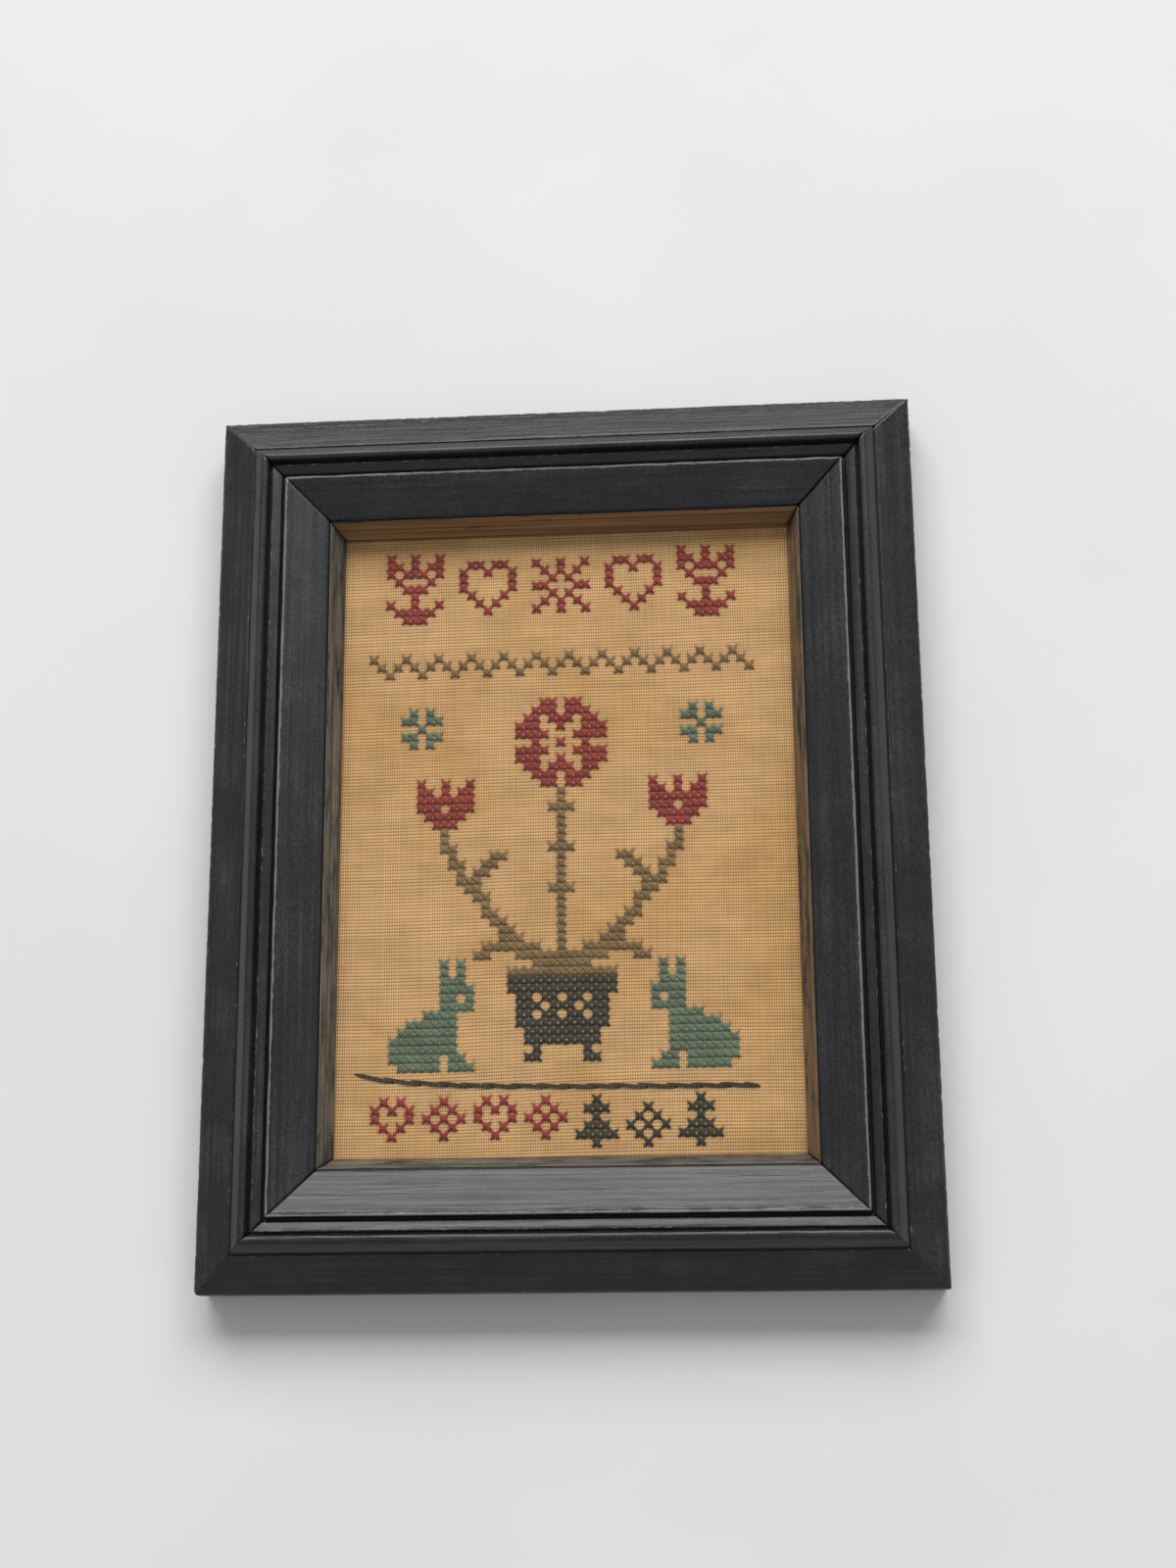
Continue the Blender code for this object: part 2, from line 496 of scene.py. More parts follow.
def build_rail(rail, looks, material):
    """One mitred length of the moulding with its wear, standing for its CAD rail."""
    upright = rail.turns % 2
    length, edge = (2 * HALF_HEIGHT, HALF_WIDTH) if upright else (2 * HALF_WIDTH, HALF_HEIGHT)
    points = section_points(looks.across_step)
    normals = outward_normals(points)
    ends = {end: mitre_at(rail.turns, end) for end in (-1, 1)}
    turn = Matrix.Rotation(rail.turns * pi / 2, 2)
    places, lay, masks = [], [], []
    rows = stations(length, looks.along_step)
    for t in rows:
        mitre = ends[1 if t > 0 else -1]
        for point, normal in zip(points, normals):
            half = length / 2 - point.inset - gap_at(mitre, point.inset) * 2 ** 0.5
            along = t * half
            from_mitre = (1 - abs(t)) * half
            ease = MITRE_EASE * fall_off(from_mitre, MITRE_EASE_REACH)
            sunk = 0.0 if point.hidden else worn_surface(rail, along, point, looks) + ease
            inset = max(0.0, point.inset - normal.x * sunk)
            height = max(0.0, point.height - normal.y * sunk)
            flat = turn @ Vector((along, edge - inset))
            x, y = round_corner(flat.x, flat.y)
            places.append((x, y, height))
            lay.append((along, point.round, rail.number * RAIL_SPACING))
            lip = float(point.inset > LIP_INSET and not point.hidden)
            masks.append((point.worn, point.grimy, lip, float(point.hidden)))
    count = len(points)
    faces = [tuple(range(count))[::-1], tuple(range((len(rows) - 1) * count, len(rows) * count))]
    for row in range(len(rows) - 1):
        for index in range(count):
            after = (index + 1) % count
            low, high = row * count, (row + 1) * count
            faces.append((low + index, low + after, high + after, high + index))
    piece = new_piece(rail.name.replace("rail", "moulding"), places, faces, material)
    set_attribute(piece, "lay", lay, "FLOAT_VECTOR")
    for name, values in zip(("worn", "grimy", "lip", "unpainted"), zip(*masks)):
        set_attribute(piece, name, values)
    spread = max(place[0] for place in lay) * 2
    whole = max(place[1] for place in lay)
    set_map(piece, "OFBake", [(0.5 + a / spread * 0.98, 0.01 + 0.98 * r / whole) for a, r, _ in lay])
    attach(piece, "root")
    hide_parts(rail.name)
    return piece


def paint_finish(rail, looks):
    """Satin black paint on wood, with streaks, a pale powdery bloom that is partly painted sheen, rubbed
    arrises, painted shade in the recesses and a worn lip.
    """
    mix = Recipe(rail.name.replace("rail", "paint"))
    lay = mix.attribute("lay", "Vector")
    worn, grimy = mix.attribute("worn"), mix.attribute("grimy")
    lip, unpainted = mix.attribute("lip"), mix.attribute("unpainted")
    streaks = mix.noise(mix.stretched(lay, (14, 900, 1)), 1.0, 4.0, 0.6)
    grain = mix.noise(mix.stretched(lay, (22, 620, 1)), 1.0, 3.0, 0.55, 0.6)
    speckle = mix.noise(mix.stretched(lay, (1600, 1900, 1)), 1.0, 2.0, 0.6)
    clouds = mix.noise(lay, 55.0, 4.0, 0.6)
    ragged = mix.noise(mix.stretched(lay, (420, 1500, 1)), 1.0, 3.0, 0.65)

    # Painted sheen, partly a real powdery bloom: patches of this grey over the black, more on some rails.
    film_and_sheen = mix.product(mix.fade(clouds, 0.38, 0.72), mix.fade(streaks, 0.3, 0.75), rail.chalky)
    body = mix.blend(film_and_sheen, looks.paint, looks.chalk)
    body = mix.tinted(body, mix.fade(speckle, 0.25, 0.75, 0.5, 1.5))
    # Painted shade in the recesses: the quirks, the foot of the step and the groove turn near black.
    body = mix.blend(mix.product(grimy, 0.85), body, (0.006, 0.005, 0.004))
    rubbed = mix.fade(mix.total(mix.product(worn, 0.75), ragged), 0.9, 1.08)
    body = mix.blend(mix.product(rubbed, 0.7), body, looks.worn_edge)

    wood_grain = mix.noise(mix.stretched(lay, (9, 1400, 1)), 1.0, 4.0, 0.6, 0.4)
    wood = mix.tinted(looks.bare_wood, mix.fade(wood_grain, 0.3, 0.7, 0.35, 1.25))
    smears = mix.noise(mix.stretched(lay, (75, 330, 1)), 1.0, 4.0, 0.7)
    showing = mix.fade(mix.math("ADD", smears, (rail.lip_bare - 0.5) * 0.5), 0.46, 0.6)
    greyed = mix.tinted(looks.worn_edge, mix.fade(wood_grain, 0.3, 0.7, 0.3, 1.0))
    lip_tone = mix.blend(mix.product(mix.fade(smears, 0.3, 0.6), rail.lip_grey), body, greyed)
    lip_tone = mix.blend(mix.product(showing, rail.lip_bare), lip_tone, wood)
    # Painted shade in the lip's quirk, turned near black.
    lip_tone = mix.blend(mix.product(grimy, 0.9), lip_tone, (0.008, 0.006, 0.004))
    body = mix.blend(lip, body, lip_tone)

    raw = mix.tinted(looks.raw_wood, mix.fade(wood_grain, 0.3, 0.7, 0.6, 1.15))
    body = mix.blend(unpainted, body, raw)

    rough = mix.fade(mix.math("ADD", streaks, mix.product(speckle, 0.5)), 0.45, 1.0, -0.07, 0.16)
    rough = mix.math("ADD", rough, looks.roughness)
    rough = mix.math("MAXIMUM", rough, mix.product(mix.math("MAXIMUM", unpainted, lip), 0.6))
    relief = mix.total(mix.product(grain, rail.grain), mix.product(streaks, 0.35), mix.product(speckle, 0.16))
    normal = mix.bump(relief, 0.16 * MM)
    return mix.finish(body, rough, normal)


# ---------------------------------------------------------------------------------------------------------
# The stitched design

HEART = (
    ".XX.XX.",
    "X..X..X",
    "X.....X",
    "X.....X",
    ".X...X.",
    "..X.X..",
    "...X...",
)
SNOWFLAKE = (
    "X..X..X",
    ".X.X.X.",
    "..X.X..",
    "XX...XX",
    "..X.X..",
    ".X.X.X.",
    "X..X..X",
)
POTTED_TULIP = (
    "X..X..X",
    "XX.X.XX",
    "X.XXX.X",
    ".X...X.",
    "..XXX..",
    "...X...",
    "X..X..X",
    ".XXXXX.",
    "..XXX..",
)
ROSETTE = (
    "...XX.XX...",
    "..XXX.XXX..",
    ".XX.XXX.XX.",
    "XXX..X..XXX",
    "XXXX...XXXX",
    "..X..X..X..",
    "XXXX...XXXX",
    "XXX..X..XXX",
    ".XX.XXX.XX.",
    "..XXX.XXX..",
    "...XX.XX...",
)
TULIP = (
    "X..X..X",
    "XX.X.XX",
    "XXXXXXX",
    "XXX.XXX",
    ".XXXXX.",
    "..XXX..",
)
HARE = (
    "......X.X.",
    "......X.X.",
    "......XXX.",
    "......XXXX",
    "......XX.X",
    "......XXXX",
    "....XXXX..",
    "..XXXXXX..",
    ".XXXXXXX..",
    "XXXXXXXX..",
    "XXXXXXXX..",
    "XXXXXX.XX.",
    ".XXXXX.XXX",
)
QUATREFOIL = (
    ".X.X.",
    "XX.XX",
    "..X..",
    "XX.XX",
    ".X.X.",
)
PLANTER = (
    "XXXXXXXXXXXXX",
    "XXXXXXXXXXXXX",
    ".XX.XX.XX.XX.",
    ".XXX.XXX.XXX.",
    ".XX.XX.XX.XX.",
    ".XXXXXXXXXXX.",
    "..XXXXXXXXX..",
    "..XXXXXXXXX..",
    "...X.....X...",
    "..XX.....XX..",
)
SMALL_HEART = (
    ".X.X.",
    "X.X.X",
    "X...X",
    ".X.X.",
    "..X..",
)
SMALL_DIAMOND = (
    "..X..",
    ".X.X.",
    "X.X.X",
    ".X.X.",
    "..X..",
)
SMALL_TREE = (
    "..X..",
    ".XXX.",
    "..X..",
    ".XXX.",
    "XXXXX",
    "..X..",
)
LEAF_SPRAY = (
    "...XXX.........XXX...",
    ".XXXXXXX.....XXXXXXX.",
    "XX...XXXXX.XXXXX...XX",
    ".......XXXXXXX.......",
    "....XXXXXXXXXXXXX....",
)
SIDE_STEM = (
    "X.........",
    "X.........",
    "XX........",
    ".X....XX..",
    ".XX..XX...",
    "..X.XX....",
    "..XXX.....",
    "...XX.....",
    "....XX....",
    ".....X....",
    ".....XX...",
    "......XX..",
    ".......XX.",
    "........XX",
)
ZIGZAG = (
    "X...",
    ".X.X",
    "..X.",
)

# What is stitched: its chart, thread, column of its left edge from the middle line, row of its foot from the
# middle of the sight opening, both in crosses, and whether it is turned left to right.
Motif = namedtuple("Motif", "chart thread column row flipped")
TOP_ROW = 27
BOTTOM_ROW = -37
MOTIFS = (
    Motif(POTTED_TULIP, "red", -22, TOP_ROW, False),
    Motif(HEART, "red", -13, TOP_ROW + 1, False),
    Motif(SNOWFLAKE, "red", -4, TOP_ROW + 1, False),
    Motif(HEART, "red", 5, TOP_ROW + 1, False),
    Motif(POTTED_TULIP, "red", 14, TOP_ROW, False),
    Motif(ROSETTE, "red", -6, 6, False),
    Motif(TULIP, "red", -18, 1, False),
    Motif(TULIP, "red", 10, 1, False),
    Motif(SIDE_STEM, "olive", -15, -13, False),
    Motif(SIDE_STEM, "olive", 4, -13, True),
    Motif(LEAF_SPRAY, "olive", -11, -17, False),
    Motif(QUATREFOIL, "sage", -20, 11, False),
    Motif(QUATREFOIL, "sage", 14, 11, False),
    Motif(HARE, "sage", -21, -28, False),
    Motif(HARE, "sage", 10, -28, True),
    Motif(PLANTER, "dark", -7, -27, False),
    Motif(SMALL_HEART, "red", -23, BOTTOM_ROW + 1, False),
    Motif(SMALL_DIAMOND, "red", -17, BOTTOM_ROW + 1, False),
    Motif(SMALL_HEART, "red", -11, BOTTOM_ROW + 1, False),
    Motif(SMALL_DIAMOND, "red", -5, BOTTOM_ROW + 1, False),
    Motif(SMALL_TREE, "dark", 1, BOTTOM_ROW, False),
    Motif(SMALL_DIAMOND, "dark", 7, BOTTOM_ROW, False),
    Motif(SMALL_TREE, "dark", 13, BOTTOM_ROW, False),
)
MAIN_STEM = range(-15, 6)
BUDS_ON_STEM = (-8, -3, 2)
ZIGZAG_COLUMNS = range(-24, 23)
ZIGZAG_FOOT = 20
DESIGN_SHIFT = Vector((-0.4 * MM, 0.0))
LINE_FROM, LINE_TO = -60.0 * MM, 53.0 * MM
LINE_START, LINE_DROP, LINE_SLOPE = -67.6 * MM, 3.6 * MM, 0.5 * MM
LINE_RISE, LINE_FALL = 0.5 * MM, 0.55 * MM
LINE_STITCH, LINE_LAP = 10.5 * MM, 3.4 * MM


def chart_cells(motif):
    """The (column, row) of each cross in a motif."""
    for down, line in enumerate(motif.chart):
        for right, mark in enumerate(line[::-1] if motif.flipped else line):
            if mark == "X":
                yield motif.column + right, motif.row + len(motif.chart) - 1 - down


def design_cells():
    """Each thread's crosses, as a dict of lists of (column, row), with no cell worked twice."""
    cells = {"red": [], "sage": [], "olive": [], "dark": []}
    for motif in MOTIFS:
        cells[motif.thread] += chart_cells(motif)
    for row in MAIN_STEM:
        cells["olive"].append((-1, row))
        if row in BUDS_ON_STEM:
            cells["olive"] += [(-2, row + 1), (0, row + 1)]
    for column in ZIGZAG_COLUMNS:
        for down, line in enumerate(ZIGZAG):
            if line[column % len(line)] == "X":
                cells["olive"].append((column, ZIGZAG_FOOT + len(ZIGZAG) - 1 - down))
    taken, kept = set(), {}
    for thread in ("dark", "red", "sage", "olive"):
        kept[thread] = [cell for cell in dict.fromkeys(cells[thread]) if cell not in taken]
        taken.update(kept[thread])
    return kept


def cell_corner(column, row, cell):
    """Where the needle goes in for one corner of the stitched grid, with its slight unevenness."""
    place = Vector((column * cell, row * cell)) + DESIGN_SHIFT
    seed = Vector((column * 0.713, row * 0.619, 3.1))
    sway = Vector((noise.noise(place.to_3d() * 22), noise.noise(place.to_3d() * 22 + Vector((9, 4, 1)))))
    jitter = Vector((noise.noise(seed * 7.7), noise.noise(seed * 6.1 + Vector((5, 2, 8)))))
    return place + sway * 0.45 * MM + jitter * 0.16 * MM


# ---------------------------------------------------------------------------------------------------------
# The cloth


HOLE_REACH = 0.42 * MM
HOLE_SEARCH = 1.5 * MM
HOLE_DEPTH = 0.3 * MM
UNEVEN_DEPTH = 0.03 * MM
UNEVEN_ROOM = 0.04 * MM
SAG_PLACE = (-0.06, -0.08)
SAG_REACH = (0.05, 0.045)
SAG_DEPTH = 1.6 * MM
THREAD_STEP = 0.73  # keeps the noise of neighbouring threads apart


def cloth_waves(x, y):
    """How far the weave has drifted from true at one place."""
    low_left = fall_off(x - SAG_PLACE[0], SAG_REACH[0]) * fall_off(y - SAG_PLACE[1], SAG_REACH[1])
    drift_x = 0.35 * MM * sin(19 * y + 1.1) + 0.2 * MM * sin(47 * y + 31 * x)
    drift_y = 0.45 * MM * sin(23 * x + 0.4) + 0.22 * MM * sin(57 * x + 26 * y + 2)
    drift_y -= SAG_DEPTH * low_left
    edge_x = 1 - (x / CLOTH_HIGH.x) ** 8
    edge_y = 1 - (y / CLOTH_HIGH.y) ** 8
    return drift_x * edge_x, drift_y * edge_y


def needle_holes(cell):
    """Every corner of the stitched grid that a thread goes through."""
    corners = set()
    for cells in design_cells().values():
        for column, row in cells:
            corners.update((column + a, row + b) for a in (0, 1) for b in (0, 1))
    return [cell_corner(column, row, cell) for column, row in sorted(corners)]


def build_cloth(looks, stitch_looks, material):
    """The woven ground: a crown at each crossing, a dip at each gap, and a pull at each needle hole."""
    width, height = CLOTH_HIGH.x - CLOTH_LOW.x, CLOTH_HIGH.y - CLOTH_LOW.y
    warps, wefts = round(width / looks.warp_pitch), round(height / looks.weft_pitch)
    holes = np.array([tuple(hole) for hole in needle_holes(stitch_looks.cell)])
    crowns = [(i + 0.5, j + 0.5, 1.0) for j in range(wefts) for i in range(warps)]
    gaps = [(float(i), float(j), 0.0) for j in range(wefts + 1) for i in range(warps + 1)]
    grid = np.array(crowns + gaps)
    flat_x = CLOTH_LOW.x + grid[:, 0] / warps * width
    flat_y = CLOTH_LOW.y + grid[:, 1] / wefts * height
    drift = np.array([cloth_waves(x, y) for x, y in zip(flat_x, flat_y)])
    x, y = flat_x + drift[:, 0], flat_y + drift[:, 1]
    pull = np.zeros(len(x))
    for hole in holes:
        near = np.flatnonzero((abs(x - hole[0]) < HOLE_SEARCH) & (abs(y - hole[1]) < HOLE_SEARCH))
        reach = ((x[near] - hole[0]) ** 2 + (y[near] - hole[1]) ** 2) / HOLE_REACH ** 2
        pull[near] = np.maximum(pull[near], np.exp(-reach))
    z = CLOTH_HIGH.z - looks.relief * (1 - grid[:, 2]) - HOLE_DEPTH * pull
    z += UNEVEN_DEPTH * np.sin(900 * x) * np.sin(700 * y) - UNEVEN_ROOM
    first_gap = len(crowns)

    def gap_index(i, j):
        return first_gap + j * (warps + 1) + i

    faces = []
    for j in range(wefts):
        for i in range(warps):
            crown = j * warps + i
            ring = (gap_index(i, j), gap_index(i + 1, j), gap_index(i + 1, j + 1), gap_index(i, j + 1))
            faces += [(ring[k], ring[(k + 1) % 4], crown) for k in range(4)]
    rim = [gap_index(i, 0) for i in range(warps)]
    rim += [gap_index(warps, j) for j in range(wefts)]
    rim += [gap_index(i, wefts) for i in range(warps, 0, -1)]
    rim += [gap_index(0, j) for j in range(wefts, 0, -1)]
    places = list(zip(x, y, z))
    under = len(places)
    places += [(x[k], y[k], CLOTH_LOW.z) for k in rim]
    for k in range(len(rim)):
        after = (k + 1) % len(rim)
        faces.append((rim[k], under + k, under + after, rim[after]))
    faces.append(tuple(range(under + len(rim) - 1, under - 1, -1)))
    piece = new_piece("woven_ground", places, faces, material)
    threads = np.vstack([grid[:, :2], grid[rim, :2]])
    set_map(piece, "threads", threads)
    set_attribute(piece, "pull", np.append(pull, np.zeros(len(rim))))
    set_map(piece, "OFBake", threads / (warps, wefts) * 0.98 + 0.01)
    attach(piece, "root")
    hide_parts("sampler_cloth")
    return piece


def weave_finish(looks):
    """Tea-dyed plain weave: warp over weft by turns, painted shade in the gaps and needle holes, a painted
    highlight on each thread's crown, slubs, and uneven dye.
    """
    mix = Recipe("tea_dyed_weave")
    made = mix.node("ShaderNodeUVMap")
    made.uv_map = "threads"
    warp_at, weft_at, _ = mix.parts(made.outputs[0])
    across = mix.math("SUBTRACT", mix.math("FRACT", warp_at), 0.5)
    up = mix.math("SUBTRACT", mix.math("FRACT", weft_at), 0.5)
    warp_number, weft_number = mix.math("FLOOR", warp_at), mix.math("FLOOR", weft_at)
    parity = mix.math("MODULO", mix.math("ADD", warp_number, weft_number), 2.0)
    over = mix.math("MULTIPLY_ADD", parity, -2.0, 1.0)

    def crown(offset, half_width):
        """A thread's rounded top across its width."""
        part = mix.math("DIVIDE", offset, half_width)
        left = mix.math("SUBTRACT", 1.0, mix.product(part, part))
        return mix.math("SQRT", mix.math("MAXIMUM", left, 0.0))

    def ride(offset, sign):
        """A thread's rise over, or dip under, the one that it crosses."""
        swing = mix.math("COSINE", mix.product(offset, pi))
        return mix.product(swing, over, sign)

    warp_top = mix.total(crown(across, 0.36), ride(up, 0.55))
    weft_top = mix.total(crown(up, 0.4), ride(across, -0.55))
    height = mix.math("MAXIMUM", warp_top, weft_top)
    # Painted shade in the gaps: the openings are real, the darkness drawn over them is painted.
    gap_shade_mask = mix.product(
        mix.fade(mix.math("ABSOLUTE", across), 0.3, 0.46), mix.fade(mix.math("ABSOLUTE", up), 0.28, 0.44)
    )
    where = mix.node("ShaderNodeTexCoord").outputs["Object"]
    warp_place = mix.node("ShaderNodeCombineXYZ", X=mix.product(warp_number, THREAD_STEP)).outputs[0]
    weft_place = mix.node("ShaderNodeCombineXYZ", Y=mix.product(weft_number, THREAD_STEP)).outputs[0]
    per_warp = mix.noise(warp_place, 1.0, 1.0)
    per_weft = mix.noise(weft_place, 1.0, 1.0)
    slubs = mix.noise(mix.stretched(where, (55, 900, 1)), 1.0, 3.0, 0.6)
    blotches = mix.noise(where, 26.0, 4.0, 0.6, 0.4)
    patches = mix.noise(mix.stretched(where, (70, 110, 1)), 1.0, 3.0, 0.6)
    tone = mix.blend(mix.product(mix.fade(blotches, 0.42, 0.68), 0.55), looks.tan, looks.stain)
    shade = mix.total(
        mix.fade(per_warp, 0.3, 0.7, 0.0, 0.09), mix.fade(per_weft, 0.3, 0.7, 0.0, 0.07),
        mix.fade(slubs, 0.3, 0.7, 0.0, 0.1), mix.fade(patches, 0.3, 0.7, 0.0, 0.16), 0.72,
    )
    # Painted highlight on each thread's crown, and painted shade where it dips under the thread that crosses
    # it.
    shade = mix.product(shade, mix.fade(height, 0.2, 1.5, 0.62, 1.12))
    tone = mix.tinted(tone, shade)
    tone = mix.blend(mix.product(gap_shade_mask, 0.85), tone, looks.gap)
    # Painted shade around each needle hole, in the gap colour.
    tone = mix.blend(mix.product(mix.attribute("pull"), 0.8), tone, looks.gap)
    hairs = mix.noise(where, 5200.0, 2.0, 0.7)
    normal = mix.bump(mix.math("ADD", height, mix.product(hairs, 0.25)), 0.13 * MM)
    return mix.finish(tone, 0.88, normal, Sheen_Weight=0.12, Sheen_Roughness=0.5)


# ---------------------------------------------------------------------------------------------------------
# The stitches

STRAND_RINGS = 7
STRAND_SIDES = 6
STRAND_PHASE = 0.013  # sets each strand's plies apart from the last one's
NEEDLE_DEPTH = 0.22 * MM


class ThreadMesh:
    """Gathers strands of one thread into a single mesh."""

    def __init__(self):
        self.places, self.faces, self.twist = [], [], []

    def add_strand(self, path, widths, lofts, side):
        """One flattened tube along a path of points. side is the level direction across it."""
        first = len(self.places)
        for index, (centre, width, loft) in enumerate(zip(path, widths, lofts)):
            for step in range(STRAND_SIDES):
                turn = 2 * pi * step / STRAND_SIDES
                offset = side * (width / 2 * cos(turn)) + Vector((0, 0, loft / 2 * sin(turn)))
                self.places.append(centre + offset)
                self.twist.append((index / (len(path) - 1), step / STRAND_SIDES, first * STRAND_PHASE))
        for ring in range(len(path) - 1):
            low = first + ring * STRAND_SIDES
            for step in range(STRAND_SIDES):
                after = (step + 1) % STRAND_SIDES
                self.faces.append(
                    (low + step, low + after, low + STRAND_SIDES + after, low + STRAND_SIDES + step)
                )
        last = first + (len(path) - 1) * STRAND_SIDES
        self.faces.append(tuple(range(first + STRAND_SIDES - 1, first - 1, -1)))
        self.faces.append(tuple(range(last, last + STRAND_SIDES)))

    def add_leg(self, start, end, rise, looks, chance):
        """Two strands laid side by side from one needle hole to another, over whatever lies between."""
        run = (end - start).normalized()
        side = Vector((-run.y, run.x, 0.0))
        lean = chance.uniform(-0.06, 0.06) * MM
        for hand in (-1, 1):
            path, widths, lofts = [], [], []
            fullness = chance.uniform(0.9, 1.1)
            for ring in range(STRAND_RINGS):
                t = ring / (STRAND_RINGS - 1)
                bulge = sin(pi * t) ** 0.55
                flat = start.lerp(end, t)
                apart = hand * looks.strand * (0.16 + 0.32 * bulge) + lean * bulge
                dive = CLOTH_HIGH.z - NEEDLE_DEPTH + (rise + NEEDLE_DEPTH) * sin(pi * t) ** 0.5
                path.append(Vector((flat.x, flat.y, dive)) + side * apart)
                widths.append(looks.strand * fullness * (0.45 + 0.55 * bulge))
                lofts.append(looks.loft * (0.6 + 0.4 * bulge))
            self.add_strand(path, widths, lofts, side)

    def piece(self, name, material):
        """The mesh as one piece that rides with the frame."""
        made = new_piece(name, self.places, self.faces, material)
        set_attribute(made, "twist", self.twist, "FLOAT_VECTOR")
        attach(made, "root")
        return made


def add_cross(threads, column, row, looks, chance):
    """One cross: a leg one way, and a second over it."""
    low_left = cell_corner(column, row, looks.cell)
    low_right = cell_corner(column + 1, row, looks.cell)
    high_left = cell_corner(column, row + 1, looks.cell)
    high_right = cell_corner(column + 1, row + 1, looks.cell)
    threads.add_leg(low_left, high_right, looks.loft * 0.42, looks, chance)
    threads.add_leg(low_right, high_left, looks.loft * 1.05, looks, chance)


def line_height(x):
    """The stitched line drops from its left end and then runs level."""
    from_left = (x - LINE_FROM) / (LINE_TO - LINE_FROM)
    return LINE_START - LINE_DROP * (1 - exp(-6 * from_left)) - LINE_SLOPE * from_left


def add_line(threads, looks, chance):
    """The ground line: long slanting stitches, each starting beside the end of the one before."""
    x, end_x = LINE_FROM, LINE_FROM
    while end_x < LINE_TO:
        end_x = min(LINE_TO, x + LINE_STITCH * chance.uniform(0.9, 1.1))
        start = Vector((x, line_height(x) + LINE_RISE))
        end = Vector((end_x, line_height(end_x) - LINE_FALL))
        threads.add_leg(start, end, looks.loft * 0.5, looks, chance)
        x = end_x - LINE_LAP


def floss_finish(name, tone):
    """Stranded cotton: fine slanting plies with painted shade between them, a soft sheen, slightly uneven
    dye.
    """
    mix = Recipe(name)
    where = mix.node("ShaderNodeTexCoord").outputs["Object"]
    twist = mix.attribute("twist", "Vector")
    along, around, _ = mix.parts(twist)
    plies = mix.math("SINE", mix.total(mix.product(along, 2 * pi * 7), mix.product(around, 2 * pi * 3)))
    fibres = mix.noise(where, 3800.0, 3.0, 0.65)
    dye = mix.noise(where, 160.0, 3.0, 0.6)
    # The ply stripes are painted shade between plies; the fibre and dye noise is the thread's own colour.
    shade = mix.total(
        mix.product(plies, 0.1), mix.fade(fibres, 0.3, 0.7, 0.0, 0.3),
        mix.fade(dye, 0.3, 0.7, 0.0, 0.35), 0.62,
    )
    normal = mix.bump(mix.total(plies, mix.product(fibres, 0.8)), 0.035 * MM)
    return mix.finish(mix.tinted(tone, shade), 0.62, normal, Sheen_Weight=0.25, Sheen_Roughness=0.4)


def board_finish():
    """Plain grey-brown board with a faint fibre and a few specks."""
    mix = Recipe("plain_board")
    where = mix.node("ShaderNodeTexCoord").outputs["Object"]
    fibre = mix.noise(mix.stretched(where, (700, 90, 90)), 1.0, 4.0, 0.65)
    specks = mix.fade(mix.noise(where, 900.0, 2.0, 0.5), 0.66, 0.74)
    tone = mix.tinted((0.42, 0.38, 0.32), mix.fade(fibre, 0.3, 0.7, 0.85, 1.1))
    tone = mix.blend(mix.product(specks, 0.4), tone, (0.16, 0.12, 0.08))
    return mix.finish(tone, 0.85, mix.bump(fibre, 0.05 * MM))


# ---------------------------------------------------------------------------------------------------------
# The stage

VIEWPOINT = Vector((48.7, -127.0, 576.9)) * MM
VIEW_RIGHT = Vector((0.99703514, -0.00807046, -0.07652319))
VIEW_UP = Vector((0.02622272, 0.97059199, 0.23929805))
LENS = 47.17
PANEL_PLACE = Vector((0.17, 3.4, 2.9))
PANEL_SIZE = (5.1, 2.4)


def make_camera():
    """Looks down at the face from a little below its middle, as it is looked at when it stands."""
    camera = bpy.data.objects.new("view", bpy.data.cameras.new("view"))
    bpy.context.scene.collection.objects.link(camera)
    camera.data.lens = LENS
    camera.data.sensor_width = 36.0
    camera.data.clip_start, camera.data.clip_end = 0.01, 50.0
    back = VIEW_RIGHT.cross(VIEW_UP)
    turn = Matrix((VIEW_RIGHT, VIEW_UP, back)).transposed()
    camera.matrix_world = Matrix.Translation(VIEWPOINT) @ turn.to_4x4()
    bpy.context.scene.camera = camera


def make_floor(looks):
    """A wide pale floor just under the frame's back."""
    mix = Recipe("pale_floor")
    where = mix.node("ShaderNodeTexCoord").outputs["Object"]
    mottle = mix.fade(mix.noise(where, 9.0, 3.0, 0.5), 0.3, 0.7, 0.98, 1.02)
    material = mix.finish(mix.tinted(looks.floor, mottle), 0.7)
    reach, low = 4.0, CAD_BOX[0].z - 0.2 * MM
    corners = [(-reach, -reach, low), (reach, -reach, low), (reach, reach, low), (-reach, reach, low)]
    new_piece("floor", corners, [(0, 1, 2, 3)], material, smooth=False)


def make_light(looks):
    """An even room and one wide soft panel beyond the top edge."""
    world = bpy.data.worlds.new("room")
    world.use_nodes = True
    background = world.node_tree.nodes["Background"]
    background.inputs["Color"].default_value = (0.96, 0.985, 1.0, 1.0)
    background.inputs["Strength"].default_value = looks.room
    bpy.context.scene.world = world
    panel = bpy.data.lights.new("panel", "AREA")
    panel.shape = "RECTANGLE"
    panel.size, panel.size_y = PANEL_SIZE
    panel.energy = looks.panel_power
    lamp = bpy.data.objects.new("panel", panel)
    lamp.location = PANEL_PLACE
    lamp.rotation_mode = "QUATERNION"
    lamp.rotation_quaternion = (-PANEL_PLACE).to_track_quat("-Z", "Y")
    bpy.context.scene.collection.objects.link(lamp)


# ---------------------------------------------------------------------------------------------------------
# Operators and panel


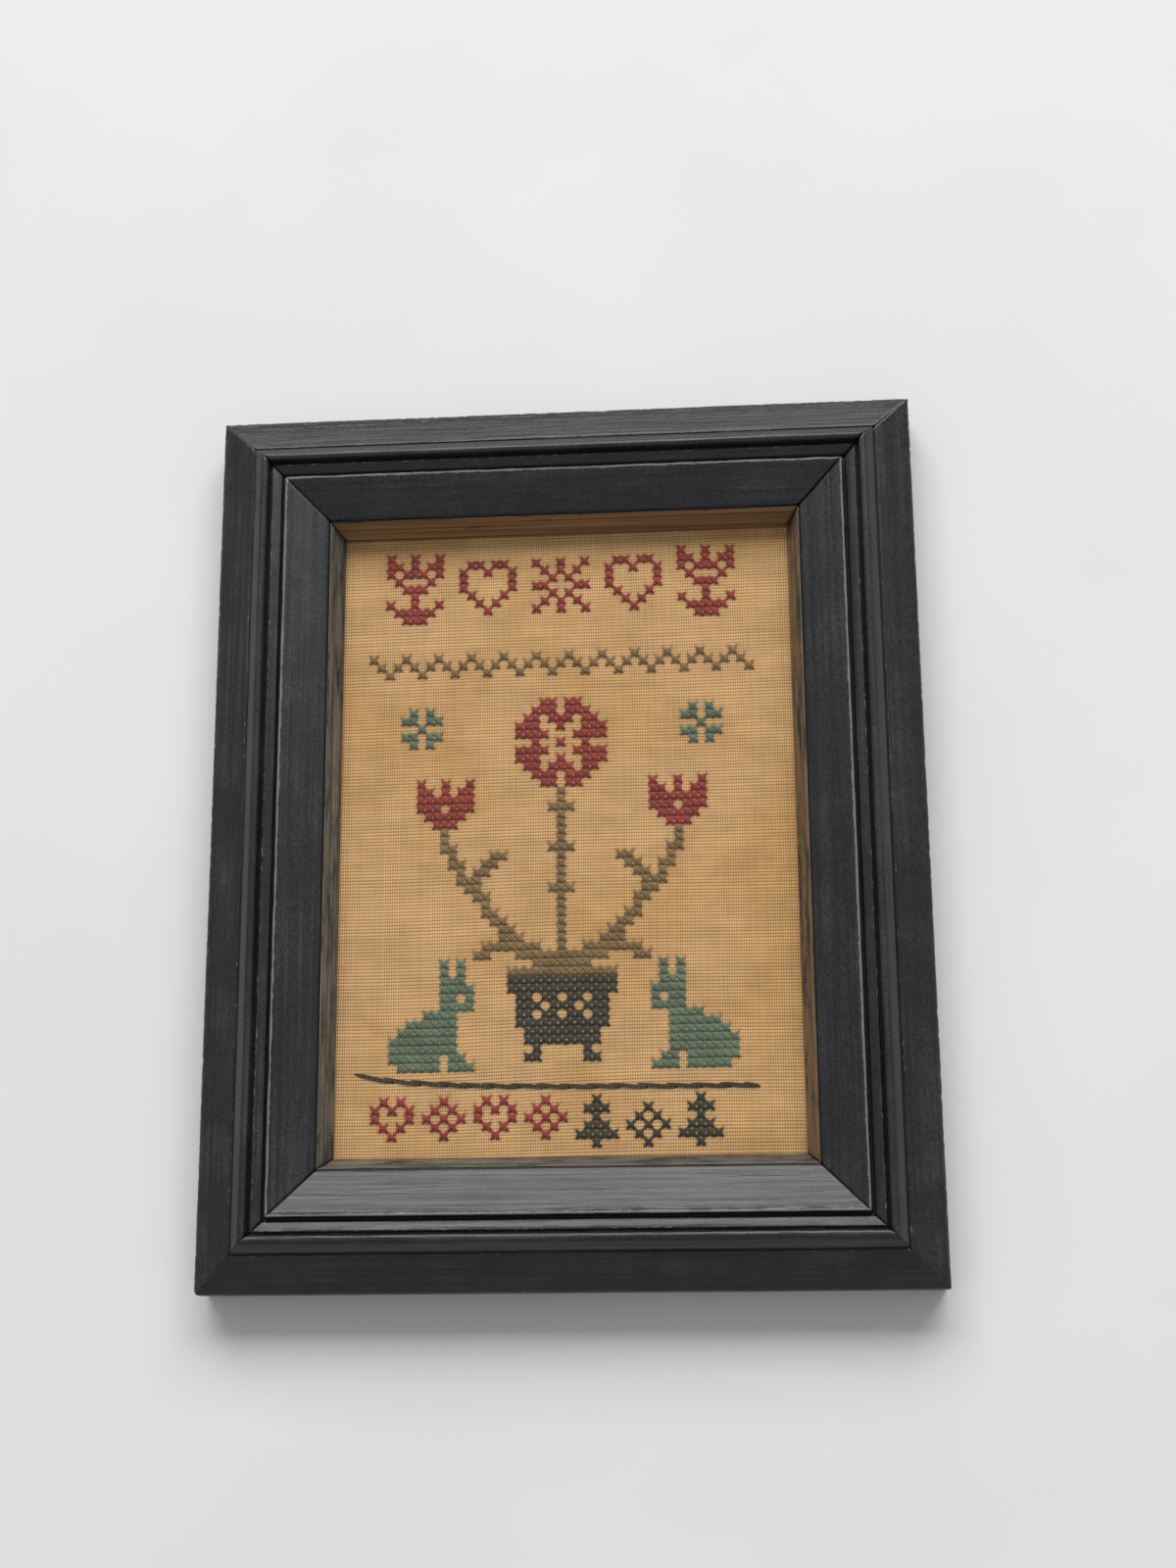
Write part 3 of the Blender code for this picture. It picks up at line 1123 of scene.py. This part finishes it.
class SAMPLER_OT_rails(bpy.types.Operator):
    """Build the four painted rails"""

    bl_idname = "sampler.rails"
    bl_label = "Painted Rails"

    def execute(self, context):
        looks = context.scene.sampler_frame
        for rail in RAILS:
            build_rail(rail, looks, paint_finish(rail, looks))
        return {"FINISHED"}


class SAMPLER_OT_cloth(bpy.types.Operator):
    """Build the woven cloth"""

    bl_idname = "sampler.cloth"
    bl_label = "Woven Cloth"

    def execute(self, context):
        looks = context.scene.sampler_cloth
        build_cloth(looks, context.scene.sampler_stitches, weave_finish(looks))
        return {"FINISHED"}


class SAMPLER_OT_stitches(bpy.types.Operator):
    """Work the cross stitches and the ground line"""

    bl_idname = "sampler.stitches"
    bl_label = "Cross Stitches"

    def execute(self, context):
        looks = context.scene.sampler_stitches
        chance = Random(11)
        for thread, cells in design_cells().items():
            threads = ThreadMesh()
            for column, row in cells:
                add_cross(threads, column, row, looks, chance)
            if thread == "dark":
                add_line(threads, looks, chance)
            finish = floss_finish(f"floss_{thread}", tuple(getattr(looks, thread)))
            threads.piece(f"stitches_{thread}", finish)
        return {"FINISHED"}


class SAMPLER_OT_board(bpy.types.Operator):
    """Finish the plain board behind the cloth"""

    bl_idname = "sampler.board"
    bl_label = "Mounting Board"

    def execute(self, context):
        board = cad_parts["mounting_board"]
        board.data.materials.clear()
        board.data.materials.append(board_finish())
        return {"FINISHED"}


class SAMPLER_OT_stage(bpy.types.Operator):
    """Set up the floor, the light and the camera"""

    bl_idname = "sampler.stage"
    bl_label = "Stage"

    def execute(self, context):
        looks = context.scene.sampler_stage
        make_camera()
        make_floor(looks)
        make_light(looks)
        context.scene.view_settings.view_transform = "Standard"
        return {"FINISHED"}


GROUPS = (
    ("sampler_frame", FrameLooks, SAMPLER_OT_rails),
    ("sampler_cloth", ClothLooks, SAMPLER_OT_cloth),
    ("sampler_stitches", StitchLooks, SAMPLER_OT_stitches),
    ("sampler_stage", StageLooks, SAMPLER_OT_stage),
)


class SAMPLER_PT_panel(bpy.types.Panel):
    """Lists the sampler's pieces with their sizes and colours"""

    bl_idname = "SAMPLER_PT_panel"
    bl_label = "Framed Sampler"
    bl_space_type = "VIEW_3D"
    bl_region_type = "UI"
    bl_category = "Sampler"

    def draw(self, context):
        for name, group, operator in GROUPS:
            box = self.layout.box()
            box.operator(operator.bl_idname)
            for prop in group.__annotations__:
                box.prop(getattr(context.scene, name), prop)
        self.layout.operator(SAMPLER_OT_board.bl_idname)


def register():
    """Makes the groups, operators and panel known."""
    for name, group, operator in GROUPS:
        bpy.utils.register_class(group)
        bpy.utils.register_class(operator)
        setattr(bpy.types.Scene, name, bpy.props.PointerProperty(type=group))
    bpy.utils.register_class(SAMPLER_OT_board)
    bpy.utils.register_class(SAMPLER_PT_panel)


def unregister():
    """Undoes register."""
    bpy.utils.unregister_class(SAMPLER_PT_panel)
    bpy.utils.unregister_class(SAMPLER_OT_board)
    for name, group, operator in reversed(GROUPS):
        delattr(bpy.types.Scene, name)
        bpy.utils.unregister_class(operator)
        bpy.utils.unregister_class(group)


def main():
    """Builds everything in order."""
    register()
    bpy.ops.sampler.stage()
    bpy.ops.sampler.board()
    bpy.ops.sampler.rails()
    bpy.ops.sampler.cloth()
    bpy.ops.sampler.stitches()


if __name__ == "__main__":
    main()
